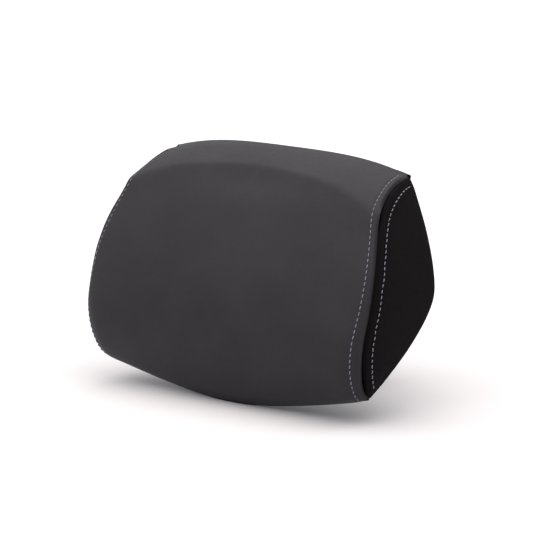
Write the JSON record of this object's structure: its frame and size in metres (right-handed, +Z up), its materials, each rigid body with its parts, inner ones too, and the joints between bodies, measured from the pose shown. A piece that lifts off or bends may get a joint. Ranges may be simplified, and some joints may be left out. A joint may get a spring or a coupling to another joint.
{
  "type": "chair headrest attachment",
  "caption": "Wide leather-faced upholstered headrest pad on a tilting, height-adjustable bracket that bolts to the back of an office chair.",
  "frame": {"origin": "centre of the four bolt holes on the rear face of the mounting rail", "axes": "+Z up, -Y towards the sitter's head (the leather face), +X to the right seen from the front"},
  "size_m": [0.2908, 0.1789, 0.1906],
  "materials": {
    "charcoal_leather": "soft grained charcoal leather, satin",
    "side_fabric": "fine woven near-black mesh fabric",
    "back_fabric": "fine woven near-black fabric",
    "soft_foam": "open-cell comfort foam",
    "firm_foam": "moulded foam",
    "board_plastic": "moulded polypropylene",
    "zinc_steel": "zinc plated",
    "black_steel": "black powder coat",
    "black_screw": "black oxide",
    "black_plastic": "fine textured black plastic",
    "washer_plastic": "natural acetal",
    "spring_steel": "phosphated spring steel",
    "bush_plastic": "natural acetal",
    "cast_aluminium": "black painted die casting",
    "liner_plastic": "natural acetal",
    "brass_pad": "turned brass",
    "knob_plastic": "black ribbed plastic",
    "rail_aluminium": "black anodised extrusion",
    "stop_plastic": "black moulded plastic"
  },
  "bodies": {
    "rail": {"mounting_rail": "rail_aluminium", "upper_end_stop": "stop_plastic", "lower_end_stop": "stop_plastic", "stop_screws": "black_screw"},
    "carriage": {"carriage_block": "cast_aluminium", "glide_liners": "liner_plastic", "carriage_cap": "black_plastic", "cap_screws": "black_screw", "hinge_bushes": "bush_plastic", "clamp_pad": "brass_pad"},
    "knob": {"clamp_knob": "knob_plastic", "clamp_stud": "zinc_steel"},
    "pad": {"leather_cover": "charcoal_leather", "side_panel_left": "side_fabric", "side_panel_right": "side_fabric", "back_panel": "back_fabric", "comfort_foam": "soft_foam", "foam_core": "firm_foam", "carrier_board": "board_plastic", "threaded_inserts": "zinc_steel", "hinge_bracket": "black_steel", "bracket_screws": "black_screw", "rear_cover": "black_plastic", "cover_screws": "black_screw", "tilt_axle": "zinc_steel", "friction_washers": "washer_plastic", "disc_springs": "spring_steel", "lock_nut": "zinc_steel"}
  },
  "joints": [
    {"name": "height", "type": "slide", "parent": "rail", "child": "carriage", "axis": [0, 0, 1], "range_m": [-0.03, 0.03]},
    {"name": "tilt", "type": "hinge", "parent": "carriage", "child": "pad", "pos_m": [0, -0.053, 0.045], "axis": [1, 0, 0], "range_deg": [-20, 25]},
    {"name": "clamp_turn", "type": "hinge", "parent": "carriage", "child": "knob", "pos_m": [0.03, -0.015, -0.01], "axis": [1, 0, 0], "range_deg": [0, 180]}
  ]
}
